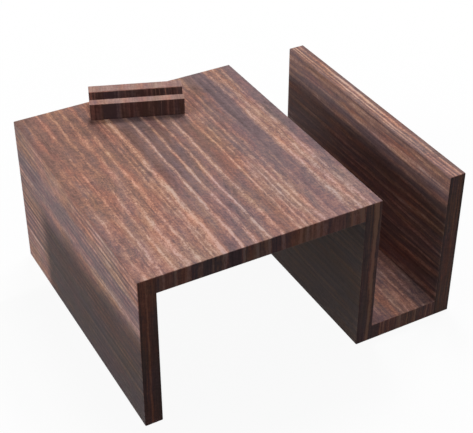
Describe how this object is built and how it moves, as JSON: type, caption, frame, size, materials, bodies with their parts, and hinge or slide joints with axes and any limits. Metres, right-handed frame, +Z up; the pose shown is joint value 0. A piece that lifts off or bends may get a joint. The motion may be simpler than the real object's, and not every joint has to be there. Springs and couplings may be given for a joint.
{
  "type": "sofa arm tray",
  "caption": "Wooden tray that straddles a sofa's arm, with an open side pocket and a slotted holder block that swivels on its top.",
  "frame": {"origin": "middle of the footprint, on the plane that the boards stand on", "axes": "+X towards the side pocket, +Y towards the back, where the holder block is, +Z up"},
  "size_m": [0.268, 0.231, 0.1465],
  "materials": {
    "stained_wood": "dark reddish brown stain with open grain and a thin satin oil finish",
    "dowel_wood": "plain untreated hardwood",
    "steel": "bright zinc plate",
    "nylon": "natural nylon, matt"
  },
  "bodies": {
    "tray": {"left_panel": "stained_wood", "top_panel": "stained_wood", "right_panel": "stained_wood", "pocket_floor": "stained_wood", "pocket_wall": "stained_wood", "top_left_dowel_1": "dowel_wood", "top_left_dowel_2": "dowel_wood", "top_left_dowel_3": "dowel_wood", "top_right_dowel_1": "dowel_wood", "top_right_dowel_2": "dowel_wood", "top_right_dowel_3": "dowel_wood", "pocket_inner_dowel_1": "dowel_wood", "pocket_inner_dowel_2": "dowel_wood", "pocket_inner_dowel_3": "dowel_wood", "pocket_outer_dowel_1": "dowel_wood", "pocket_outer_dowel_2": "dowel_wood", "pocket_outer_dowel_3": "dowel_wood"},
    "holder": {"holder_block": "stained_wood", "pivot_screw": "steel", "sleeve_nut": "steel", "upper_washer": "nylon", "lower_washer": "nylon"}
  },
  "joints": [
    {"name": "holder_swivel", "type": "hinge", "parent": "tray", "child": "holder", "pos_m": [-0.041, 0.084, 0.132], "axis": [0, 0, 1], "continuous": true}
  ]
}
